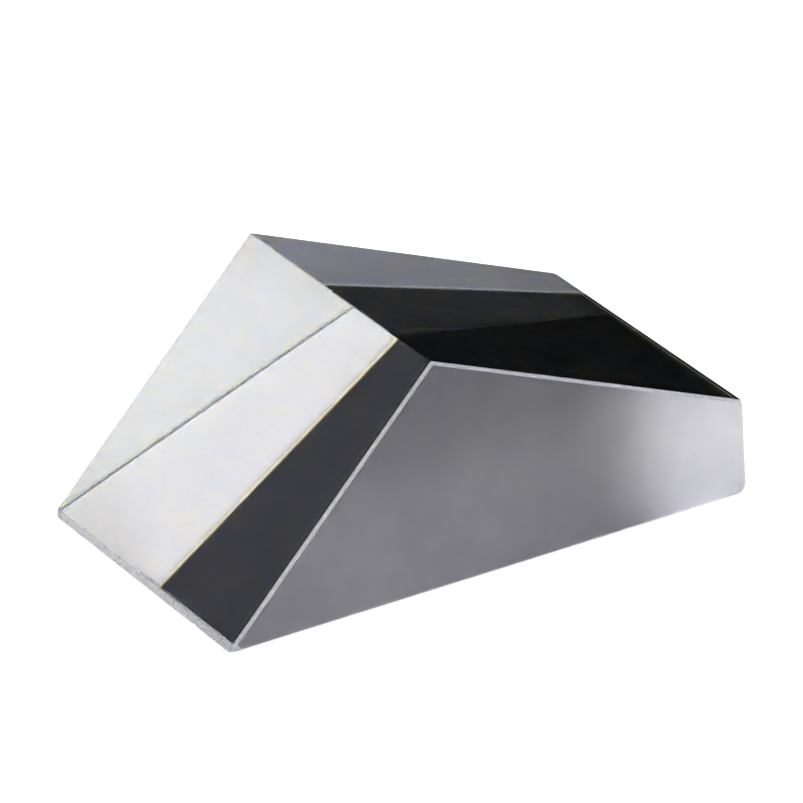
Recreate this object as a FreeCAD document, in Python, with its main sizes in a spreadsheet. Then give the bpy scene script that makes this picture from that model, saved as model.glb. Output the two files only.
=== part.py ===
import FreeCAD, Part
import math
import os

import Sketcher

# Half-penta prism: one solid block of crown glass with a four-sided section.
# Light enters square to the entrance face, is reflected by the exit face and
# then by the mirror face, and leaves square to the exit face, turned through
# the apex angle.
#
# Frame: the block rests on its exit face. The origin is the middle of that
# face as it is before its edges are ground, +X runs from the thin edge to the
# end face, +Y across the width, +Z up. The section's corners are the thin edge
# and the heel on the exit face, the shoulder at the top of the end face, and
# the ridge, its highest point. The thin edge would chip, so a flat is ground
# along it.

NODE = "half_penta_prism"

# Name, value in millimetres or degrees, and what it measures.
DIMENSIONS = [
    ("entrance_face", 30.0, "entrance face from thin edge to ridge, before bevels"),
    ("prism_width", 32.0, "between the two ground side faces"),
    ("apex_angle", 45.0, "between entrance face and exit face"),
    ("thin_edge_flat", 0.7, "width of the flat ground along the thin edge"),
    ("flat_angle", 70.0, "between that flat and the exit face"),
    ("side_bevel", 0.25, "bevel leg round each ground side face"),
    ("optical_bevel", 0.08, "bevel leg on the edges between two polished faces"),
    ("corner_facet", 0.4, "leg of the facets ground on the exposed corners"),
]

SAME_PLACE = 1e-4

# How far the flat cuts into the exit face and into the entrance face.
LEG_ON_EXIT = ("dimensions.thin_edge_flat * sin((dimensions.flat_angle - dimensions.apex_angle) * 1 deg)"
               " / sin(dimensions.apex_angle * 1 deg)")
LEG_ON_ENTRANCE = ("dimensions.thin_edge_flat * sin(dimensions.flat_angle * 1 deg)"
                   " / sin(dimensions.apex_angle * 1 deg)")


def dimension_sheet(doc):
    """Keep every driving dimension in a spreadsheet cell with an alias."""
    sheet = doc.addObject("Spreadsheet::Sheet", "dimensions")
    for row, (alias, value, note) in enumerate(DIMENSIONS, start=1):
        sheet.set(f"A{row}", alias)
        sheet.set(f"B{row}", str(value))
        sheet.set(f"C{row}", note)
        sheet.setAlias(f"B{row}", alias)
    doc.recompute()
    return sheet


def origin_plane(body, role):
    """Return one of the body's own origin planes."""
    return next(item for item in body.Origin.OriginFeatures if item.Role == role)


def bind(sketch, name, expression, *constraint):
    """Add a named dimension to a sketch and tie it to the dimension sheet."""
    index = sketch.addConstraint(Sketcher.Constraint(*constraint))
    sketch.renameConstraint(index, name)
    sketch.setExpression(f"Constraints.{name}", expression)


def draw_section(body, sheet):
    """Draw the four-sided section in the upright plane along the prism."""
    sketch = body.newObject("Sketcher::SketchObject", "section")
    sketch.AttachmentSupport = [(origin_plane(body, "XZ_Plane"), "")]
    sketch.MapMode = "FlatFace"

    face = sheet.entrance_face
    apex = math.radians(sheet.apex_angle)
    half_exit = face * (1 + math.cos(apex)) / 2
    thin_edge = FreeCAD.Vector(-half_exit, 0, 0)
    heel = FreeCAD.Vector(half_exit, 0, 0)
    ridge = thin_edge + FreeCAD.Vector(face * math.cos(apex), face * math.sin(apex), 0)
    shoulder = ridge + FreeCAD.Vector(face, -face * math.tan(apex / 2), 0)

    # How a constraint names the two ends of a line, and the sketch's origin.
    start, end = 1, 2
    origin = (-1, 1)
    corners = [thin_edge, heel, shoulder, ridge, thin_edge]
    outline = [Part.LineSegment(a, b) for a, b in zip(corners, corners[1:])]
    exit_line, end_line, mirror_line, entrance_line = sketch.addGeometry(outline)
    for line, following in [
        (exit_line, end_line),
        (end_line, mirror_line),
        (mirror_line, entrance_line),
        (entrance_line, exit_line),
    ]:
        sketch.addConstraint(Sketcher.Constraint("Coincident", line, end, following, start))
    sketch.addConstraint(Sketcher.Constraint("Horizontal", exit_line))
    sketch.addConstraint(Sketcher.Constraint("Vertical", end_line))
    sketch.addConstraint(
        Sketcher.Constraint("Symmetric", exit_line, start, exit_line, end, *origin)
    )

    bind(sketch, "entrance_length", "dimensions.entrance_face",
         "Distance", entrance_line, face)
    bind(sketch, "thin_edge_angle", "dimensions.apex_angle * 1 deg",
         "Angle", exit_line, start, entrance_line, end, apex)
    # A mirror face tilted by half the apex angle sends the beam straight down.
    bind(sketch, "shoulder_angle", "90 deg + dimensions.apex_angle * 0.5 deg",
         "Angle", mirror_line, start, end_line, end, math.pi / 2 + apex / 2)
    # The beam leaves as wide as it entered, so the end face stands that far
    # beyond the ridge.
    bind(sketch, "beam_width", "dimensions.entrance_face",
         "DistanceX", mirror_line, end, mirror_line, start, face)
    return sketch


def bevel(body, label, base, chosen, size):
    """Grind flat bevels on the chosen edges of the feature made last."""
    names = [f"Edge{n}" for n, edge in enumerate(base.Shape.Edges, start=1) if chosen(edge)]
    feature = body.newObject("PartDesign::Chamfer", label)
    feature.Base = (base, names)
    feature.setExpression("Size", size)
    body.Document.recompute()
    return feature


def build_prism(doc, sheet):
    """Pad the section to the prism's width, then bevel its edges and corners."""
    body = doc.addObject("PartDesign::Body", NODE)
    body.Label = NODE
    section = draw_section(body, sheet)

    block = body.newObject("PartDesign::Pad", "block")
    block.Profile = section
    block.SideType = "Symmetric"
    block.setExpression("Length", "dimensions.prism_width")
    doc.recompute()

    def ends_on_side_face(edge):
        half_width = sheet.prism_width / 2
        return [abs(abs(end.Y) - half_width) < SAME_PLACE for end in edge.Vertexes]

    def runs_across(edge):
        first, last = edge.Vertexes
        return abs(abs(last.Y - first.Y) - edge.Length) < SAME_PLACE

    def rims_side_face(edge):
        return all(ends_on_side_face(edge)) and not runs_across(edge)

    thin_end = block.Shape.BoundBox.XMin
    heel = block.Shape.BoundBox.XMax
    flat_reach = sheet.thin_edge_flat / math.tan(math.radians(sheet.apex_angle))

    def is_thin_edge(edge):
        return edge.Vertexes[0].X - thin_end < SAME_PLACE and runs_across(edge)

    flat = bevel(body, "thin_edge_flat", block, is_thin_edge, LEG_ON_EXIT)
    flat.ChamferType = "Two distances"
    flat.setExpression("Size2", LEG_ON_ENTRANCE)
    doc.recompute()

    def exposed_mitre(edge):
        """Where two side bevels meet, at the foot of the flat and up the end face."""
        middle = edge.CenterOfMass
        at_flat_foot = middle.x < 0 and middle.z < sheet.side_bevel
        at_end_face = middle.x > heel - sheet.side_bevel
        meets_side = sum(ends_on_side_face(edge)) == 1
        return meets_side and (at_flat_foot or at_end_face) and not runs_across(edge)

    def between_polished(edge):
        beyond_flat = edge.CenterOfMass.x > thin_end + flat_reach + SAME_PLACE
        return runs_across(edge) and beyond_flat

    sides = bevel(body, "side_bevels", flat, rims_side_face, "dimensions.side_bevel")
    corners = bevel(body, "corner_facets", sides, exposed_mitre, "dimensions.corner_facet")
    body.Tip = bevel(body, "optical_bevels", corners, between_polished, "dimensions.optical_bevel")
    doc.recompute()
    return body


def check(doc, body):
    """Stop on a failed feature, a loose sketch or an unsound solid."""
    for item in doc.Objects:
        if "Invalid" in item.State or "Error" in item.State:
            raise RuntimeError(f"{item.Label} failed: {item.State}")
    if not doc.getObject("section").FullyConstrained:
        raise RuntimeError("the section is not fully constrained")
    shape = body.Shape
    if shape.isNull() or not shape.isValid() or len(shape.Solids) != 1:
        raise RuntimeError(f"{body.Label} is not one valid solid")


def main():
    os.makedirs("parts", exist_ok=True)
    doc = FreeCAD.newDocument("half_penta")
    sheet = dimension_sheet(doc)
    prism = build_prism(doc, sheet)
    check(doc, prism)
    prism.Shape.exportStep(f"parts/{prism.Label}.step")
    box = prism.Shape.BoundBox
    print(f"{prism.Label}: {len(prism.Shape.Faces)} faces, {prism.Shape.Volume:.2f} mm3,")
    print(f"{box.XLength:.3f} x {box.YLength:.3f} x {box.ZLength:.3f} mm")


main()
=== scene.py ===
import math

import bpy
from bpy.props import FloatProperty, FloatVectorProperty, IntProperty, PointerProperty
from mathutils import Matrix, Vector


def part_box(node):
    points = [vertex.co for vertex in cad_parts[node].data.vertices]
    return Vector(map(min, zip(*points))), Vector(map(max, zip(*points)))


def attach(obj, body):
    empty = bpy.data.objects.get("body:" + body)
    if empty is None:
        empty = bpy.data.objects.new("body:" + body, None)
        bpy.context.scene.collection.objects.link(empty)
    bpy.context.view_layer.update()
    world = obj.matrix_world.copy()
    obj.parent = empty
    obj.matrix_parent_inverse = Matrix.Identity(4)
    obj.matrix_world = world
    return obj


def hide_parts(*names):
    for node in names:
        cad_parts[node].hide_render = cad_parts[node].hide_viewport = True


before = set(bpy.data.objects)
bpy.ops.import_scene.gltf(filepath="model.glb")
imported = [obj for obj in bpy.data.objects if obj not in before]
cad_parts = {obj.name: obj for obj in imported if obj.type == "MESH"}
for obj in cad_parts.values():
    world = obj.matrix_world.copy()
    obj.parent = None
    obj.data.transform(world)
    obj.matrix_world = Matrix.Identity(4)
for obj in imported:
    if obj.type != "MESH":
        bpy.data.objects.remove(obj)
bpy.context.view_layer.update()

bl_info = {
    "name": "Half-penta prism",
    "version": (1, 0, 0),
    "blender": (4, 5, 0),
    "location": "View3D > Sidebar > Prism",
    "description": "Makes a ground and polished half-penta prism and a small studio for it",
    "category": "Object",
}

NODE = "half_penta_prism"
MM = 0.001
CROWN_GLASS_IOR = 1.5168
GLASS_TINT = "#FDFEFE"

# The index of crown glass for the warm and the cool part of white light, which together
# make white again.
IOR_BY_COLOUR = {"#FFE795": 1.5163, "#007CDA": 1.5232}

# Kinds of node that the prism's tree needs many times.
MATHS = "ShaderNodeMath"
VECTOR = "ShaderNodeVectorMath"
XYZ = "ShaderNodeCombineXYZ"
RANDOM = "FunctionNodeRandomValue"

# The direction from one ground side face to the other.
ACROSS = (0.0, 1.0, 0.0)

# Two faces look the same way if the cosine of the angle between them is above this.
SAME_WAY = 0.9999

# Points of the ground block that lie closer than this are one.
WELD_DISTANCE = 0.0001 * MM

# Faces of a prism with every edge ground: 5 round the section, 2 sides, 10 side bevels,
# 3 optical bevels and 6 corner facets.
GROUND_FACES = 26

# Chips: how far one strays from its place, its half lengths as a share of its size, how it
# is turned in radians, the least luck that its size is drawn with, and each edge's seed.
CHIP_SCATTER = (0.01 * MM, 0.4 * MM, 0.01 * MM)
CHIP_SHAPES = ((0.2, 0.4, 0.2), (0.35, 1.0, 0.35))
CHIP_TURNS = ((0.0, 0.0, -0.4), (6.3, 0.0, 0.4))
LEAST_LUCK = 0.3
CHIP_SEEDS = (3, 8)

# Half the floor's width in metres, the heights of the floor and the card below the prism,
# and the width of the camera's sensor in millimetres.
FLOOR_REACH = 3.0
FLOOR_LEVEL = -0.3 * MM
CARD_LEVEL = -0.1 * MM
SENSOR_WIDTH = 36

# Softboxes: turn from +X towards +Y and height above the horizon in degrees, half the
# angle that the round diffuser fills, its brightness and its colour.
SOFTBOXES = {
    "front_softbox": (290, 5, 14, 4.92, "#F8FFEC"),
    "top_softbox": (290, 45, 14, 5.01, "#E3E9FF"),
    "low_front_softbox": (270, -15, 14, 7, "#B3A5FF"),
    "right_softbox": (335, 25, 14, 3.8, "#EDEDFF"),
    "back_right_softbox": (20, 20, 14, 2.12, "#F5EEFF"),
    "high_right_softbox": (20, 45, 14, 2.92, "#FFF7C8"),
    "back_lamp": (95, 20, 9, 4.3, "#FDFBFF"),
    "low_back_lamp": (110, 0, 9, 20.9, "#F2F2FF"),
    "back_left_fill": (125, 20, 9, 0.247, "#D1E0FF"),
    "high_back_lamp": (140, 40, 9, 6.06, "#FFFDF0"),
    "right_table_glow": (0, -45, 22, 4.95, "#FFFAE7"),
    "table_glow": (0, -90, 32, 1.13, "#F2F5FF"),
}


# Small helpers

def linear(hex_colour):
    """Turn an sRGB hex colour into linear red, green, blue and full alpha."""
    channels = [int(hex_colour[i:i + 2], 16) / 255 for i in (1, 3, 5)]
    return [c / 12.92 if c <= 0.04045 else ((c + 0.055) / 1.055) ** 2.4 for c in channels] + [1]


def add(tree, kind, inputs=None, **settings):
    """Add a node with its settings. An input is given a value, a socket, or a node's first output."""
    made = tree.nodes.new(kind)
    for name, value in settings.items():
        setattr(made, name, value)
    for key, value in (inputs or {}).items():
        if isinstance(value, bpy.types.Node):
            value = next(output for output in value.outputs if output.enabled)
        if isinstance(value, bpy.types.NodeSocket):
            tree.links.new(value, made.inputs[key])
        else:
            made.inputs[key].default_value = value
    return made


def new_material(name):
    """Return a material with an empty node tree."""
    material = bpy.data.materials.new(name)
    material.use_nodes = True
    material.node_tree.nodes.clear()
    return material


# Properties

class PrismSizes(bpy.types.PropertyGroup):
    entrance_face: FloatProperty(
        name="Entrance Face", description="Entrance face from thin edge to ridge, before bevels",
        default=30 * MM, unit="LENGTH")
    prism_width: FloatProperty(
        name="Prism Width", description="Between the two ground side faces",
        default=32 * MM, unit="LENGTH")
    apex_angle: FloatProperty(
        name="Apex Angle", description="Between the entrance face and the exit face",
        default=math.radians(45), unit="ROTATION")
    thin_edge_flat: FloatProperty(
        name="Thin Edge Flat", description="Width of the flat ground along the thin edge",
        default=0.7 * MM, unit="LENGTH")
    flat_angle: FloatProperty(
        name="Flat Angle", description="Between that flat and the exit face",
        default=math.radians(70), unit="ROTATION")
    side_bevel: FloatProperty(
        name="Side Bevel", description="Bevel leg round each ground side face",
        default=0.25 * MM, unit="LENGTH")
    optical_bevel: FloatProperty(
        name="Optical Bevel", description="Bevel leg on the edges between two polished faces",
        default=0.08 * MM, unit="LENGTH")
    corner_facet: FloatProperty(
        name="Corner Facet", description="Leg of the facets ground on the exposed corners",
        default=0.4 * MM, unit="LENGTH")
    chip_size: FloatProperty(
        name="Chip Size", description="Half length of the largest chips along the thin edge",
        default=0.48 * MM, unit="LENGTH")
    chips: IntProperty(
        name="Chips", description="How many chips there are along each edge of the thin-edge flat",
        default=40, min=2)


class StudioSettings(bpy.types.PropertyGroup):
    azimuth: FloatProperty(
        name="Azimuth", description="Turn of the camera round the prism",
        default=math.radians(-27.955), unit="ROTATION")
    elevation: FloatProperty(
        name="Elevation", description="Height of the camera above the horizon",
        default=math.radians(25.999), unit="ROTATION")
    roll: FloatProperty(
        name="Roll", description="Turn of the camera about its own axis",
        default=-0.0658, unit="ROTATION")
    distance: FloatProperty(
        name="Distance", description="From the camera to its aim point",
        default=789.96 * MM, unit="LENGTH")
    aim: FloatVectorProperty(
        name="Aim", description="Point in the middle of the picture",
        default=(0.614697 * MM, -0.66422 * MM, 9.990295 * MM), unit="LENGTH")
    lens: FloatProperty(
        name="Lens", description="Focal length for a 36 mm wide sensor, in millimetres",
        default=412.655)
    softbox_distance: FloatProperty(
        name="Softbox Distance", description="From each softbox to the prism",
        default=1.0, unit="LENGTH")
    light_level: FloatProperty(
        name="Light Level", description="Brightness of all softboxes together",
        default=1.0, min=0.0)
    floor_colour: FloatVectorProperty(
        name="Floor Colour", description="Colour of the pale floor",
        default=linear("#FFFFFF")[:3], subtype="COLOR")


# Materials

def patches(tree, size, low, high, detail=2.0):
    """Cloudy patches of about this size on the piece, running between two values."""
    place = add(tree, "ShaderNodeTexCoord").outputs["Object"]
    noise = add(tree, "ShaderNodeTexNoise", {"Vector": place, "Scale": 1 / size, "Detail": detail})
    # The noise is seldom below 0.3 or above 0.7
    return add(tree, "ShaderNodeMapRange", {
        "Value": noise, "From Min": 0.3, "From Max": 0.7, "To Min": low, "To Max": high})


# Crown glass polished with fine oxide: nearly colourless and clear, with sharp reflections
# and coloured fringes on the edges seen through it. A cloth leaves a trace of haze on it.
def polished_crown_glass():
    material = new_material("polished_crown_glass")
    tree = material.node_tree
    haze = patches(tree, 9 * MM, 0.0, 0.004)
    shader = add(tree, "ShaderNodeBsdfPrincipled", {
        "Base Color": linear(GLASS_TINT), "Roughness": haze, "IOR": CROWN_GLASS_IOR,
        "Transmission Weight": 1.0})
    add(tree, "ShaderNodeOutputMaterial", {"Surface": shader}, target="ALL", is_active_output=True)

    # Cycles alone can bend cool light more than warm. It does so where the eye's ray first
    # enters the glass; further on, one index is enough and gives less noise.
    bent = None
    for colour, index in IOR_BY_COLOUR.items():
        part = add(tree, "ShaderNodeBsdfRefraction", {
            "Color": linear(colour), "Roughness": haze, "IOR": index})
        bent = add(tree, "ShaderNodeAddShader", {0: bent, 1: part}) if bent else part
    mirrored = add(tree, "ShaderNodeBsdfAnisotropic", {"Color": linear("#FFFFFF"), "Roughness": haze})
    reflectance = add(tree, "ShaderNodeFresnel", {"IOR": CROWN_GLASS_IOR})
    split = add(tree, "ShaderNodeMixShader", {0: reflectance, 1: bent, 2: mirrored})
    first = add(tree, "ShaderNodeLightPath").outputs["Is Camera Ray"]
    whole = add(tree, "ShaderNodeMixShader", {0: first, 1: shader, 2: split})
    add(tree, "ShaderNodeOutputMaterial", {"Surface": whole}, target="CYCLES")
    return material


# The same glass left matt by loose grit, which lets light through but scatters it. The
# grit's pits are about 0.02 mm wide and are drawn at 0.1 mm, so that they show.
def ground_crown_glass():
    material = new_material("ground_crown_glass")
    tree = material.node_tree
    pits = patches(tree, 0.1 * MM, 0.0, 1.0)
    relief = add(tree, "ShaderNodeBump", {"Height": pits, "Strength": 1.0, "Distance": 0.002 * MM})
    tone = add(tree, "ShaderNodeMix", {
        "Factor": patches(tree, 2.5 * MM, 0.0, 1.0), 6: linear("#F1F2F4"), 7: linear(GLASS_TINT)},
        data_type="RGBA")
    shader = add(tree, "ShaderNodeBsdfPrincipled", {
        "Base Color": tone, "Roughness": patches(tree, 5 * MM, 0.47, 0.53),
        "IOR": CROWN_GLASS_IOR, "Transmission Weight": 1.0, "Normal": relief})
    add(tree, "ShaderNodeOutputMaterial", {"Surface": shader})
    return material


# Bevels are ground by hand on a coarser lap. Their deeper pits send back more of the light,
# so they look whiter than the side faces, and painted shade, a darker grey in the pits'
# hollows, makes them look less even. Pits about 0.05 mm wide are drawn at 0.25 mm, so that they show.
def coarse_ground_bevel():
    material = new_material("coarse_ground_bevel")
    tree = material.node_tree
    pits = patches(tree, 0.25 * MM, 0.0, 1.0, detail=4.0)
    relief = add(tree, "ShaderNodeBump", {"Height": pits, "Strength": 1.0, "Distance": 0.05 * MM})
    # The tone follows the pits' height: their hollows are painted shade, a darker grey.
    tone = add(tree, "ShaderNodeMix", {
        "Factor": pits, 6: linear("#BDBFC2"), 7: linear("#FFFFFF")}, data_type="RGBA")
    shader = add(tree, "ShaderNodeBsdfPrincipled", {
        "Base Color": tone, "Roughness": patches(tree, 0.5 * MM, 0.5, 0.7),
        "IOR": CROWN_GLASS_IOR, "Transmission Weight": 0.65, "Normal": relief})
    add(tree, "ShaderNodeOutputMaterial", {"Surface": shader})
    return material


# Matt white laminate: an even, shadowless base for a product photo. Pressed on a fine
# texture plate, it has a faint grain that only a grazing light shows.
def floor_laminate(colour):
    material = new_material("floor_laminate")
    tree = material.node_tree
    grain = patches(tree, 0.8 * MM, 0.0, 1.0)
    relief = add(tree, "ShaderNodeBump", {"Height": grain, "Strength": 1.0, "Distance": 0.01 * MM})
    shader = add(tree, "ShaderNodeBsdfPrincipled", {
        "Base Color": (*colour, 1), "Roughness": patches(tree, 30 * MM, 0.55, 0.65),
        "Normal": relief, "Emission Color": (*colour, 1), "Emission Strength": 1.0})
    add(tree, "ShaderNodeOutputMaterial", {"Surface": shader})
    return material


# Dyed paper card under the prism: matt black, so the exit face has nothing bright below it.
# Its pressed fibres take the dye a little unevenly.
def black_card():
    material = new_material("black_card")
    tree = material.node_tree
    tone = add(tree, "ShaderNodeMix", {
        "Factor": patches(tree, 0.6 * MM, 0.0, 1.0), 6: linear("#030304"), 7: linear("#060607")},
        data_type="RGBA")
    shader = add(tree, "ShaderNodeBsdfPrincipled", {
        "Base Color": tone, "Roughness": patches(tree, 2 * MM, 0.85, 0.95)})
    add(tree, "ShaderNodeOutputMaterial", {"Surface": shader})
    return material


# The prism

def draw_section(tree, given):
    """Find the section's corners by the full-aperture rule, the exit face's middle at the origin."""
    face, apex = given["Entrance Face"], given["Apex Angle"]
    rise = add(tree, MATHS, {0: apex}, operation="SINE")
    run = add(tree, MATHS, {0: apex}, operation="COSINE")
    exit_face = add(tree, MATHS, {0: face, 1: run, 2: face}, operation="MULTIPLY_ADD")
    half_exit = add(tree, MATHS, {0: exit_face, 1: 0.5}, operation="MULTIPLY")
    heel = add(tree, XYZ, {"X": half_exit})
    thin_edge = add(tree, VECTOR, {0: heel, "Scale": -1.0}, operation="SCALE")
    slope = add(tree, XYZ, {"X": run, "Z": rise})
    up_entrance = add(tree, VECTOR, {0: slope, "Scale": face}, operation="SCALE")
    ridge = add(tree, VECTOR, {0: thin_edge, 1: up_entrance}, operation="ADD")
    half_apex = add(tree, MATHS, {0: apex, 1: 0.5}, operation="MULTIPLY")
    slant = add(tree, MATHS, {0: half_apex}, operation="TANGENT")
    fall = add(tree, MATHS, {0: slant, 1: -1.0}, operation="MULTIPLY")
    along_mirror = add(tree, XYZ, {"X": 1.0, "Z": fall})
    down_mirror = add(tree, VECTOR, {0: along_mirror, "Scale": face}, operation="SCALE")
    shoulder = add(tree, VECTOR, {0: ridge, 1: down_mirror}, operation="ADD")

    # The flat replaces the thin edge with two corners, its foot and its top
    flat, lean = given["Thin Edge Flat"], given["Flat Angle"]
    lean_sine = add(tree, MATHS, {0: lean}, operation="SINE")
    lean_cosine = add(tree, MATHS, {0: lean}, operation="COSINE")
    above_entrance = add(tree, MATHS, {0: lean, 1: apex}, operation="SUBTRACT")
    sine_above = add(tree, MATHS, {0: above_entrance}, operation="SINE")
    flat_over_rise = add(tree, MATHS, {0: flat, 1: rise}, operation="DIVIDE")
    foot_reach = add(tree, MATHS, {0: sine_above, 1: flat_over_rise}, operation="MULTIPLY")
    to_foot = add(tree, XYZ, {"X": foot_reach})
    foot = add(tree, VECTOR, {0: thin_edge, 1: to_foot}, operation="ADD")
    along_flat = add(tree, XYZ, {"X": lean_cosine, "Z": lean_sine})
    up_flat = add(tree, VECTOR, {0: along_flat, "Scale": flat}, operation="SCALE")
    top = add(tree, VECTOR, {0: foot, 1: up_flat}, operation="ADD")
    minus_sine = add(tree, MATHS, {0: lean_sine, 1: -1.0}, operation="MULTIPLY")
    flat_normal = add(tree, XYZ, {"X": minus_sine, "Z": lean_cosine})
    return (foot, heel, shoulder, ridge, top), half_exit, flat_normal


def mark_corners(tree, corners):
    """One point for each corner, with the outward normals of the faces before and after it."""
    index = add(tree, "GeometryNodeInputIndex")
    pick = add(tree, "GeometryNodeIndexSwitch", {"Index": index}, data_type="VECTOR")
    while len(pick.index_switch_items) < len(corners):
        pick.index_switch_items.new()
    for number, corner in enumerate(corners):
        tree.links.new(corner.outputs[0], pick.inputs[str(number)])
    points = add(tree, "GeometryNodePoints", {"Count": len(corners), "Position": pick})
    here = add(tree, "GeometryNodeInputPosition")
    normals = []
    for step, end, start in ((1, 0, 1), (len(corners) - 1, 1, 0)):
        stepped = add(tree, MATHS, {0: index, 1: float(step)}, operation="ADD")
        wrapped = add(tree, MATHS, {0: stepped, 1: float(len(corners))}, operation="MODULO")
        there = add(tree, "GeometryNodeFieldAtIndex", {"Index": wrapped, "Value": here},
                    data_type="FLOAT_VECTOR", domain="POINT")
        along = add(tree, VECTOR, {end: there, start: here}, operation="SUBTRACT")
        square = add(tree, VECTOR, {0: ACROSS, 1: along}, operation="CROSS_PRODUCT")
        normals.append(add(tree, VECTOR, {0: square}, operation="NORMALIZE"))
    marked = add(tree, "GeometryNodeCaptureAttribute", {"Geometry": points})
    for name, kind, field in (("after", "VECTOR", normals[0]), ("before", "VECTOR", normals[1]),
                              ("corner", "VECTOR", here), ("number", "INT", index)):
        marked.capture_items.new(kind, name)
        tree.links.new(field.outputs[0], marked.inputs[name])
    return marked.outputs


def saw_blank(tree, marked, half_width, polished):
    """The sawn and polished blank: the section at both sides, closed over."""
    sides = add(tree, "GeometryNodeDuplicateElements", {"Geometry": marked[0], "Amount": 2},
                domain="POINT")
    side = add(tree, MATHS, {0: sides.outputs["Duplicate Index"], 1: 2.0, 2: -1.0},
               operation="MULTIPLY_ADD")
    shift = add(tree, MATHS, {0: side, 1: half_width}, operation="MULTIPLY")
    to_side = add(tree, VECTOR, {0: ACROSS, "Scale": shift}, operation="SCALE")
    outlines = add(tree, "GeometryNodeSetPosition", {
        "Geometry": sides.outputs[0],
        "Position": add(tree, VECTOR, {0: marked["corner"], 1: to_side})})
    blank = add(tree, "GeometryNodeConvexHull", {"Geometry": outlines})
    return add(tree, "GeometryNodeSetMaterial", {"Geometry": blank, "Material": polished})


def lay_laps(tree, given, marked, half_exit, half_width, polished, bevel):
    """A block for each bevel and facet, laid with one side on the plane that a lap grinds."""
    # The corners' numbers: 0 foot, 1 heel, 2 shoulder, 3 ridge, 4 top of the flat
    corner, number = marked["corner"], marked["number"]

    # Laps at each corner: 0 and 1 side bevels, 2 and 3 corner facets, 4 the optical bevel
    laps = add(tree, "GeometryNodeDuplicateElements", {"Geometry": marked[0], "Amount": 5},
               domain="POINT")
    lap = laps.outputs["Duplicate Index"]
    is_bevel = add(tree, MATHS, {0: lap, 1: 1.5}, operation="LESS_THAN")
    is_optical = add(tree, MATHS, {0: lap, 1: 3.5}, operation="GREATER_THAN")
    on_a_side = add(tree, MATHS, {0: 1.0, 1: is_optical}, operation="SUBTRACT")
    odd = add(tree, MATHS, {0: lap, 1: 2.0}, operation="MODULO")
    side = add(tree, MATHS, {0: odd, 1: 2.0, 2: -1.0}, operation="MULTIPLY_ADD")
    side = add(tree, MATHS, {0: side, 1: on_a_side}, operation="MULTIPLY")
    outward = add(tree, VECTOR, {0: ACROSS, "Scale": side}, operation="SCALE")
    first, second = (
        add(tree, VECTOR, {0: add(tree, VECTOR, {0: marked[name], 1: outward})}, operation="NORMALIZE")
        for name in ("after", "before"))
    between = add(tree, VECTOR, {0: add(tree, VECTOR, {0: first, 1: second})}, operation="NORMALIZE")
    normal = add(tree, "ShaderNodeMix", {"Factor": is_bevel, 4: between, 5: first}, data_type="VECTOR")

    # A bevel starts its own leg from the edge, the others grind a mitre down by their leg
    inset = add(tree, MATHS, {0: half_width, 1: given["Side Bevel"]}, operation="SUBTRACT")
    to_ring = add(tree, VECTOR, {0: outward, "Scale": inset}, operation="SCALE")
    ring = add(tree, VECTOR, {0: corner, 1: to_ring})
    cosine = add(tree, VECTOR, {0: between, 1: first}, operation="DOT_PRODUCT").outputs["Value"]
    opening = add(tree, MATHS, {0: cosine}, operation="ARCCOSINE")
    sine = add(tree, MATHS, {0: opening}, operation="SINE")
    leg = add(tree, "ShaderNodeMix", {
        "Factor": is_optical, 2: given["Corner Facet"], 3: given["Optical Bevel"]})
    on_mitre = add(tree, MATHS, {0: 1.0, 1: is_bevel}, operation="SUBTRACT")
    leg = add(tree, MATHS, {0: leg, 1: on_mitre}, operation="MULTIPLY")
    depth = add(tree, MATHS, {0: leg, 1: sine}, operation="MULTIPLY")
    inward = add(tree, MATHS, {0: depth, 1: -1.0}, operation="MULTIPLY")
    down = add(tree, VECTOR, {0: normal, "Scale": inward}, operation="SCALE")
    place = add(tree, VECTOR, {0: ring, 1: down})
    placed = add(tree, "GeometryNodeSetPosition", {"Geometry": laps.outputs[0], "Position": place})

    # Facets only at the foot, heel and shoulder; optical bevels only at heel, shoulder and ridge
    past_shoulder = add(tree, MATHS, {0: number, 1: 2.5}, operation="GREATER_THAN")
    facet = add(tree, MATHS, {0: on_a_side, 1: is_bevel}, operation="SUBTRACT")
    no_facet = add(tree, MATHS, {0: facet, 1: past_shoulder}, operation="MULTIPLY")
    off_flat = add(tree, MATHS, {0: number, 1: 2.0, 2: 1.1}, operation="COMPARE")
    no_optical = add(tree, MATHS, {0: is_optical, 1: off_flat}, operation="GREATER_THAN")
    left_out = add(tree, MATHS, {0: no_facet, 1: no_optical}, operation="MAXIMUM")
    placed = add(tree, "GeometryNodeDeleteGeometry", {"Geometry": placed, "Selection": left_out},
                 domain="POINT")

    # The optical bevel at the ridge is polished, all others are ground
    block_size = add(tree, MATHS, {0: half_exit, 1: 4.0}, operation="MULTIPLY")
    block = add(tree, "GeometryNodeMeshCube", {
        "Size": add(tree, XYZ, {"X": block_size, "Y": block_size, "Z": block_size})})
    half_size = add(tree, MATHS, {0: block_size, 1: 0.5}, operation="MULTIPLY")
    block = add(tree, "GeometryNodeTransform", {
        "Geometry": block, "Translation": add(tree, XYZ, {"Z": half_size})})
    turn = add(tree, "FunctionNodeAlignRotationToVector", {"Vector": normal}, axis="Z")
    at_ridge = add(tree, MATHS, {0: number, 1: 3.0, 2: 0.1}, operation="COMPARE")
    on_ridge = add(tree, MATHS, {0: is_optical, 1: at_ridge}, operation="MULTIPLY")
    kinds = add(tree, "GeometryNodeJoinGeometry")
    for finish in (polished, bevel):
        kind = add(tree, "GeometryNodeSetMaterial", {"Geometry": block, "Material": finish})
        kind = add(tree, "GeometryNodeGeometryToInstance", {"Geometry": kind})
        tree.links.new(kind.outputs[0], kinds.inputs[0])
    return add(tree, "GeometryNodeInstanceOnPoints", {
        "Points": placed, "Instance": kinds, "Pick Instance": True,
        "Instance Index": on_ridge, "Rotation": turn})


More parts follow.
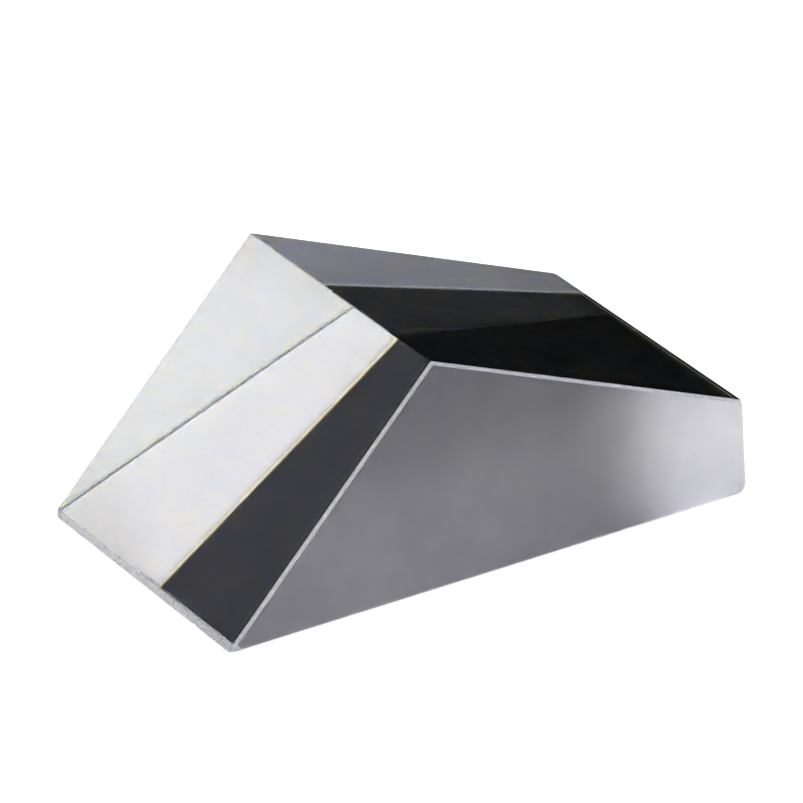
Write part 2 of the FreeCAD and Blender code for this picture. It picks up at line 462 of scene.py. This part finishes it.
def break_chips(tree, given, edges, half_width, polished):
    """Flakes broken off along these edges, most of them much smaller than the largest."""
    to_side = add(tree, VECTOR, {0: ACROSS, "Scale": half_width}, operation="SCALE")
    flakes = []
    for seed, edge in zip(CHIP_SEEDS, edges):
        line = add(tree, "GeometryNodeMeshLine", {
            "Count": given["Chips"],
            "Start Location": add(tree, VECTOR, {0: edge, 1: to_side}, operation="SUBTRACT"),
            "Offset": add(tree, VECTOR, {0: edge, 1: to_side}, operation="ADD")}, mode="END_POINTS")
        scatter = add(tree, RANDOM, {0: [-reach for reach in CHIP_SCATTER], 1: CHIP_SCATTER,
                                     "Seed": seed}, data_type="FLOAT_VECTOR")
        line = add(tree, "GeometryNodeSetPosition", {"Geometry": line, "Offset": scatter})
        luck = add(tree, RANDOM, {2: LEAST_LUCK, 3: 1.0, "Seed": seed + 1}, data_type="FLOAT")
        share = add(tree, MATHS, {0: luck, 1: 2.0}, operation="POWER")
        size = add(tree, MATHS, {0: share, 1: given["Chip Size"]}, operation="MULTIPLY")
        slimmest, fullest = CHIP_SHAPES
        shape = add(tree, RANDOM, {0: slimmest, 1: fullest, "Seed": seed + 2},
                    data_type="FLOAT_VECTOR")
        least_turn, most_turn = CHIP_TURNS
        turn = add(tree, RANDOM, {0: least_turn, 1: most_turn, "Seed": seed + 3},
                   data_type="FLOAT_VECTOR")
        flake = add(tree, "GeometryNodeMeshIcoSphere", {"Radius": 1.0, "Subdivisions": 2})
        flake = add(tree, "GeometryNodeSetMaterial", {"Geometry": flake, "Material": polished})
        flakes.append(add(tree, "GeometryNodeInstanceOnPoints", {
            "Points": line, "Instance": flake, "Rotation": turn,
            "Scale": add(tree, VECTOR, {0: shape, "Scale": size}, operation="SCALE")}))
    return flakes


def grinding_tree(polished, ground, bevel):
    """Geometry nodes that saw the blank by the full-aperture rule, then grind its edges."""
    tree = bpy.data.node_groups.new("grind_half_penta", "GeometryNodeTree")
    for name in ("Entrance Face", "Prism Width", "Apex Angle", "Thin Edge Flat", "Flat Angle",
                 "Side Bevel", "Optical Bevel", "Corner Facet", "Chip Size"):
        tree.interface.new_socket(name, in_out="INPUT", socket_type="NodeSocketFloat")
    tree.interface.new_socket("Chips", in_out="INPUT", socket_type="NodeSocketInt")
    tree.interface.new_socket("Prism", in_out="OUTPUT", socket_type="NodeSocketGeometry")
    given = add(tree, "NodeGroupInput").outputs
    half_width = add(tree, MATHS, {0: given["Prism Width"], 1: 0.5}, operation="MULTIPLY")
    corners, half_exit, flat_normal = draw_section(tree, given)
    marked = mark_corners(tree, corners)
    blank = saw_blank(tree, marked, half_width, polished)
    laps = lay_laps(tree, given, marked, half_exit, half_width, polished, bevel)
    foot, top = corners[0], corners[-1]
    flakes = break_chips(tree, given, (foot, top), half_width, polished)
    taken_off = add(tree, "GeometryNodeJoinGeometry")
    for part in reversed([laps, *flakes]):
        tree.links.new(part.outputs[0], taken_off.inputs[0])
    cut = add(tree, "GeometryNodeMeshBoolean", {
        "Mesh 1": blank, "Mesh 2": taken_off, "Self Intersection": True},
        operation="DIFFERENCE", solver="EXACT")
    merged = add(tree, "GeometryNodeMergeByDistance", {"Geometry": cut, "Distance": WELD_DISTANCE})
    finished = add(tree, "GeometryNodeRealizeInstances", {"Geometry": merged})

    # The side faces and the flat are known by the way they face
    facing = add(tree, "GeometryNodeInputNormal")
    on_side = add(tree, VECTOR, {0: facing, 1: ACROSS}, operation="DOT_PRODUCT").outputs["Value"]
    either_side = add(tree, MATHS, {0: on_side}, operation="ABSOLUTE")
    on_flat = add(tree, VECTOR, {0: facing, 1: flat_normal}, operation="DOT_PRODUCT").outputs["Value"]
    for likeness, finish in ((either_side, ground), (on_flat, bevel)):
        chosen = add(tree, MATHS, {0: likeness, 1: SAME_WAY}, operation="GREATER_THAN")
        finished = add(tree, "GeometryNodeSetMaterial", {
            "Geometry": finished, "Material": finish, "Selection": chosen})
    add(tree, "NodeGroupOutput", {"Prism": finished})
    return tree


def grow(name, tree, values):
    """Run a geometry tree on a new object and keep the result as its plain mesh."""
    piece = bpy.data.objects.new(name, bpy.data.meshes.new(name))
    bpy.context.collection.objects.link(piece)
    modifier = piece.modifiers.new(name, "NODES")
    modifier.node_group = tree
    for item in tree.interface.items_tree:
        if item.in_out == "INPUT" and item.name in values:
            modifier[item.identifier] = values[item.name]
    graph = bpy.context.evaluated_depsgraph_get()
    mesh = bpy.data.meshes.new_from_object(piece.evaluated_get(graph))
    piece.modifiers.clear()
    for slot in reversed(range(len(mesh.materials))):
        if mesh.materials[slot] is None:
            mesh.materials.pop(index=slot)
    piece.data = mesh
    return piece


class PRISM_OT_grind(bpy.types.Operator):
    """Saw, grind and polish the prism, in place of its plain solid"""
    bl_idname = "prism.grind"
    bl_label = "Grind Prism"

    def execute(self, context):
        sizes = context.scene.prism_sizes
        tree = grinding_tree(polished_crown_glass(), ground_crown_glass(), coarse_ground_bevel())
        values = {sizes.bl_rna.properties[key].name: getattr(sizes, key)
                  for key in PrismSizes.__annotations__}
        prism = grow("ground_prism", tree, values)
        if len(prism.data.polygons) < GROUND_FACES:
            raise RuntimeError("the prism was not ground: too few faces")
        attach(prism, "root")
        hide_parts(NODE)
        return {"FINISHED"}


class PRISM_OT_studio(bpy.types.Operator):
    """Set up the floor, the lights and the camera"""
    bl_idname = "prism.studio"
    bl_label = "Set Up Studio"

    def execute(self, context):
        studio = context.scene.prism_studio
        self.lay_floor(context, studio)
        self.light(context, studio)
        self.aim_camera(context, studio)
        context.scene.view_settings.view_transform = "Standard"
        context.scene.cycles.denoising_input_passes = "RGB_ALBEDO"
        context.scene.cycles.max_bounces = 32
        context.scene.cycles.transmission_bounces = 32
        context.scene.cycles.glossy_bounces = 16
        return {"FINISHED"}

    def lay_floor(self, context, studio):
        lowest, highest = (Vector(corner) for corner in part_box(NODE))
        edge = Vector((FLOOR_REACH, FLOOR_REACH, 0))
        for name, low, high, level, finish in (
            ("floor", -edge, edge, FLOOR_LEVEL, floor_laminate(studio.floor_colour)),
            ("card", lowest, highest, CARD_LEVEL, black_card()),
        ):
            mesh = bpy.data.meshes.new(name)
            mesh.from_pydata([(low.x, low.y, level), (high.x, low.y, level),
                              (high.x, high.y, level), (low.x, high.y, level)], [], [(0, 1, 2, 3)])
            mesh.materials.append(finish)
            sheet = bpy.data.objects.new(name, mesh)
            context.collection.objects.link(sheet)
        # The photo's glass shows a dark table although its background is white, so the
        # pale floor is kept out of the glass, and the black card out of the camera.
        floor, card = (bpy.data.objects[name] for name in ("floor", "card"))
        floor.visible_glossy = floor.visible_transmission = floor.visible_shadow = False
        card.visible_camera = False

    def light(self, context, studio):
        # A pale backdrop for the camera alone, in a room that is dark for the glass
        world = bpy.data.worlds.new("dark_room")
        world.use_nodes = True
        world.node_tree.nodes.clear()
        seen = add(world.node_tree, "ShaderNodeLightPath").outputs["Is Camera Ray"]
        backdrop = add(world.node_tree, "ShaderNodeBackground", {
            "Color": (*studio.floor_colour, 1), "Strength": seen})
        add(world.node_tree, "ShaderNodeOutputWorld", {"Surface": backdrop})
        context.scene.world = world
        for name, (turn, height, spread, brightness, colour) in SOFTBOXES.items():
            lamp = bpy.data.lights.new(name, "AREA")
            lamp.shape = "DISK"
            lamp.size = 2 * studio.softbox_distance * math.tan(math.radians(spread))
            lamp.color = linear(colour)[:3]
            area = math.pi * (lamp.size / 2) ** 2
            # A flat lamp's power is pi times its brightness times its area
            lamp.energy = studio.light_level * brightness * math.pi * area
            softbox = bpy.data.objects.new(name, lamp)
            turn, height = math.radians(turn), math.radians(height)
            outward = Vector((math.cos(turn) * math.cos(height),
                              math.sin(turn) * math.cos(height), math.sin(height)))
            softbox.location = outward * studio.softbox_distance
            softbox.rotation_euler = outward.to_track_quat("Z", "Y").to_euler()
            softbox.visible_camera = False
            context.collection.objects.link(softbox)

    def aim_camera(self, context, studio):
        azimuth, elevation = studio.azimuth, studio.elevation
        back = Vector((math.sin(azimuth) * math.cos(elevation),
                       -math.cos(azimuth) * math.cos(elevation), math.sin(elevation)))
        level = (-back).cross(Vector((0, 0, 1))).normalized()
        up = level.cross(-back)
        right = level * math.cos(studio.roll) + up * math.sin(studio.roll)
        up = up * math.cos(studio.roll) - level * math.sin(studio.roll)
        place = Vector(studio.aim) + back * studio.distance
        camera = bpy.data.objects.new("camera", bpy.data.cameras.new("camera"))
        camera.data.lens = studio.lens
        camera.data.sensor_width = SENSOR_WIDTH
        turn = Matrix((right, up, back)).transposed().to_4x4()
        camera.matrix_world = Matrix.Translation(place) @ turn
        context.collection.objects.link(camera)
        context.scene.camera = camera


class PRISM_PT_sidebar(bpy.types.Panel):
    bl_label = "Prism"
    bl_idname = "PRISM_PT_sidebar"
    bl_space_type = "VIEW_3D"
    bl_region_type = "UI"
    bl_category = "Prism"

    def draw(self, context):
        for group, operator in (("prism_sizes", "prism.grind"), ("prism_studio", "prism.studio")):
            box = self.layout.box()
            settings = getattr(context.scene, group)
            for key in type(settings).__annotations__:
                box.prop(settings, key)
            box.operator(operator)


CLASSES = (PrismSizes, StudioSettings, PRISM_OT_grind, PRISM_OT_studio, PRISM_PT_sidebar)


def register():
    for cls in CLASSES:
        bpy.utils.register_class(cls)
    bpy.types.Scene.prism_sizes = PointerProperty(type=PrismSizes)
    bpy.types.Scene.prism_studio = PointerProperty(type=StudioSettings)


def unregister():
    del bpy.types.Scene.prism_studio
    del bpy.types.Scene.prism_sizes
    for cls in reversed(CLASSES):
        bpy.utils.unregister_class(cls)


def main():
    register()
    bpy.ops.prism.grind()
    bpy.ops.prism.studio()


if __name__ == "__main__":
    main()
